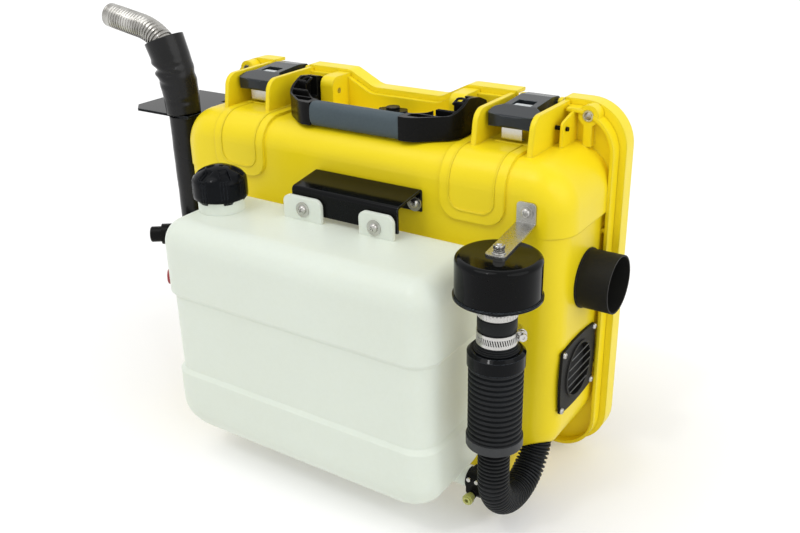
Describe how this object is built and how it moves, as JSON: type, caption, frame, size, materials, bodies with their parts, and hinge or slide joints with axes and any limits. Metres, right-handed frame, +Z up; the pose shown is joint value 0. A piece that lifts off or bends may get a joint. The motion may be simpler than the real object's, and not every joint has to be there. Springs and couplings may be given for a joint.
{
  "type": "diesel air heater",
  "caption": "Portable diesel air heater built into an upright yellow carrying case, with a fuel tank on its front, an intake silencer and a sleeved exhaust pipe.",
  "frame": {"origin": "on the floor, under the middle of the case, in the plane where base and lid meet", "axes": "+X to the hot-air outlet side, -Y to the fuel tank, +Z up"},
  "size_m": [0.6482, 0.3056, 0.47],
  "materials": {
    "yellow_case": "satin",
    "seal_rubber": "matte",
    "steel_pins": "satin",
    "dark_latch": "satin",
    "grey_plastic": "satin",
    "stainless": "satin",
    "black_plastic": "satin",
    "grip_rubber": "matte",
    "black_steel": "gloss",
    "tank_plastic": "satin",
    "clear_plastic": "gloss",
    "black_lever": "satin",
    "black_rubber": "satin",
    "grey_collar": "satin",
    "filter_paper": "matte",
    "sleeve_fabric": "satin",
    "cast_aluminium": "satin"
  },
  "bodies": {
    "base": {"air_housing": "cast_aluminium", "button_screws": "steel_pins", "can_bolt": "steel_pins", "case_base": "yellow_case", "catch_pins": "black_plastic", "control_plug": "black_plastic", "control_unit": "black_plastic", "drain_cock": "black_plastic", "drain_outlet": "clear_plastic", "drain_screws": "steel_pins", "exhaust_elbow": "stainless", "exhaust_pipe": "stainless", "exhaust_plate": "black_steel", "exhaust_sleeve_low": "sleeve_fabric", "exhaust_sleeve_up": "sleeve_fabric", "filter_can": "black_steel", "filter_element": "filter_paper", "filter_strap": "stainless", "fuel_pump": "black_steel", "fuel_tank": "tank_plastic", "glow_plug": "stainless", "handle_pins": "black_plastic", "heat_exchanger": "cast_aluminium", "heater_bench": "black_steel", "heater_shell_low": "black_plastic", "heater_shell_top": "black_plastic", "hinge_pins": "steel_pins", "hose_clamp": "stainless", "hot_air_outlet": "black_plastic", "inlet_grille": "black_plastic", "intake_hose": "black_rubber", "intake_neck": "black_rubber", "motor": "black_steel", "outlet_hood": "black_plastic", "padlock_rings": "steel_pins", "power_plug": "black_plastic", "pump_mount": "seal_rubber", "relief_valve": "black_plastic", "silencer_body": "black_rubber", "silencer_low_collar": "grey_collar", "silencer_top_collar": "black_plastic", "tank_bracket": "black_steel", "vent_plate": "black_plastic", "vent_screws": "steel_pins", "wall_sockets": "black_plastic"},
    "lid": {"case_lid": "yellow_case", "lid_seal": "seal_rubber", "latch_pins": "steel_pins"},
    "latch_left": {"latch_lever_left": "dark_latch"},
    "latch_right": {"latch_lever_right": "dark_latch"},
    "claw_left": {"latch_claw_left": "stainless"},
    "claw_right": {"latch_claw_right": "stainless"},
    "slider_left": {"latch_slider_left": "grey_plastic"},
    "slider_right": {"latch_slider_right": "grey_plastic"},
    "handle": {"handle_frame": "black_plastic", "handle_grip": "grip_rubber"},
    "cap_ring": {"cap_seal": "seal_rubber"},
    "cap": {"tank_cap": "black_plastic"},
    "drain_tap": {"drain_lever": "black_lever"},
    "rotor": {"blower_rotor": "black_plastic"}
  },
  "joints": [
    {"name": "lid_hinge", "type": "hinge", "parent": "base", "child": "lid", "pos_m": [0, 0, 0.006], "axis": [-1, 0, 0], "range_deg": [0, 100]},
    {"name": "handle_fold", "type": "hinge", "parent": "base", "child": "handle", "pos_m": [0, -0.023, 0.386], "axis": [-1, 0, 0], "range_deg": [0, 90]},
    {"name": "cap_lift", "type": "slide", "parent": "base", "child": "cap_ring", "axis": [0, 0, 1], "range_m": [0, 0.06]},
    {"name": "cap_turn", "type": "hinge", "parent": "cap_ring", "child": "cap", "pos_m": [-0.118, -0.18, 0.308], "axis": [0, 0, 1], "range_deg": [0, 540]},
    {"name": "drain_turn", "type": "hinge", "parent": "base", "child": "drain_tap", "pos_m": [0.197, -0.162, 0.044], "axis": [1, 0, 0], "range_deg": [0, 90]},
    {"name": "rotor_spin", "type": "hinge", "parent": "base", "child": "rotor", "pos_m": [-0.13, -0.044, 0.238], "axis": [1, 0, 0], "continuous": true},
    {"name": "latch_left_lift", "type": "hinge", "parent": "lid", "child": "latch_left", "pos_m": [-0.161, 0.006, 0.397], "axis": [-1, 0, 0], "range_deg": [0, 95]},
    {"name": "claw_left_swing", "type": "hinge", "parent": "latch_left", "child": "claw_left", "pos_m": [-0.161, -0.052, 0.3885], "axis": [-1, 0, 0], "range_deg": [0, 20]},
    {"name": "slider_left_slide", "type": "slide", "parent": "latch_left", "child": "slider_left", "axis": [0, 1, 0], "range_m": [0, 0.005]},
    {"name": "latch_right_lift", "type": "hinge", "parent": "lid", "child": "latch_right", "pos_m": [0.161, 0.006, 0.397], "axis": [-1, 0, 0], "range_deg": [0, 95]},
    {"name": "claw_right_swing", "type": "hinge", "parent": "latch_right", "child": "claw_right", "pos_m": [0.161, -0.052, 0.3885], "axis": [-1, 0, 0], "range_deg": [0, 20]},
    {"name": "slider_right_slide", "type": "slide", "parent": "latch_right", "child": "slider_right", "axis": [0, 1, 0], "range_m": [0, 0.005]}
  ],
  "couplings": [
    {"joint": "claw_left_swing", "follows": "latch_left_lift", "ratio": 0.2},
    {"joint": "claw_right_swing", "follows": "latch_right_lift", "ratio": 0.2}
  ]
}
